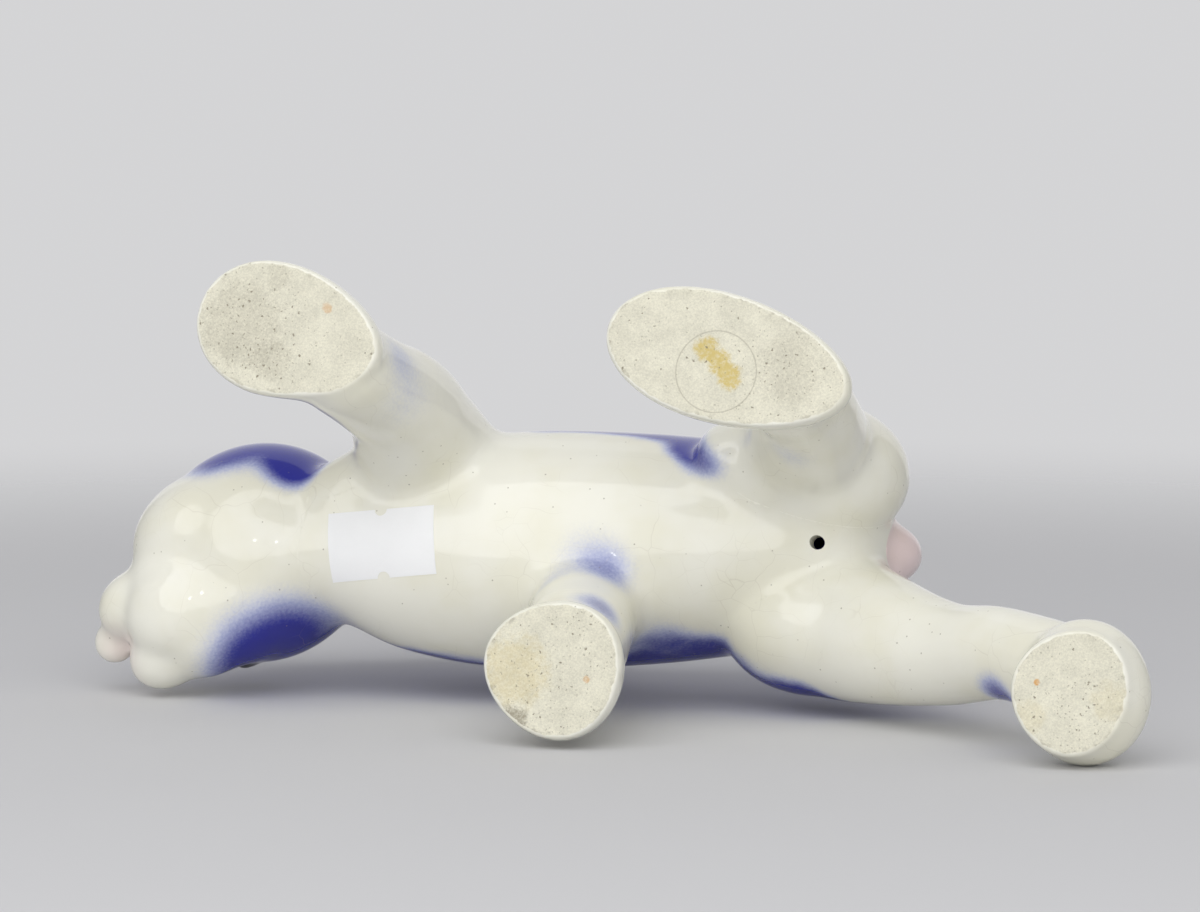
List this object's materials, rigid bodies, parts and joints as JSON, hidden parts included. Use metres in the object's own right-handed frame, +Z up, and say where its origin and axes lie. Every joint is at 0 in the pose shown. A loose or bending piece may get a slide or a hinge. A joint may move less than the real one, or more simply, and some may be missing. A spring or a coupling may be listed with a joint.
{
  "type": "rabbit figurine",
  "caption": "Glazed earthenware figurine of a striding rabbit with a turned head and laid-back ears, cast hollow in luted sections and standing on flat unglazed soles.",
  "frame": {"origin": "on the floor, under the middle of the figure's bounding box", "axes": "+X forward along the body, +Y to the animal's left, +Z up"},
  "size_m": [0.2562, 0.1146, 0.1158],
  "materials": {
    "white_glaze": "glossy creamy-white crackled glaze over earthenware, airbrushed cobalt blue above",
    "blue_glaze": "glossy crackled glaze over airbrushed cobalt blue",
    "pink_glaze": "glossy crackled glaze over a pale pink tint",
    "slip": "bare fired slip",
    "paper": "blank white label paper"
  },
  "bodies": {
    "root": {"torso": "white_glaze", "head": "white_glaze", "left_foreleg": "white_glaze", "right_foreleg": "white_glaze", "left_hind_leg": "white_glaze", "right_hind_leg": "white_glaze", "left_ear": "blue_glaze", "right_ear": "blue_glaze", "tail": "pink_glaze", "head_slip_collar": "slip", "left_foreleg_slip_collar": "slip", "right_foreleg_slip_collar": "slip", "left_hind_leg_slip_collar": "slip", "right_hind_leg_slip_collar": "slip", "left_ear_slip_collar": "slip", "right_ear_slip_collar": "slip", "tail_slip_collar": "slip", "inventory_label": "paper"}
  },
  "joints": []
}
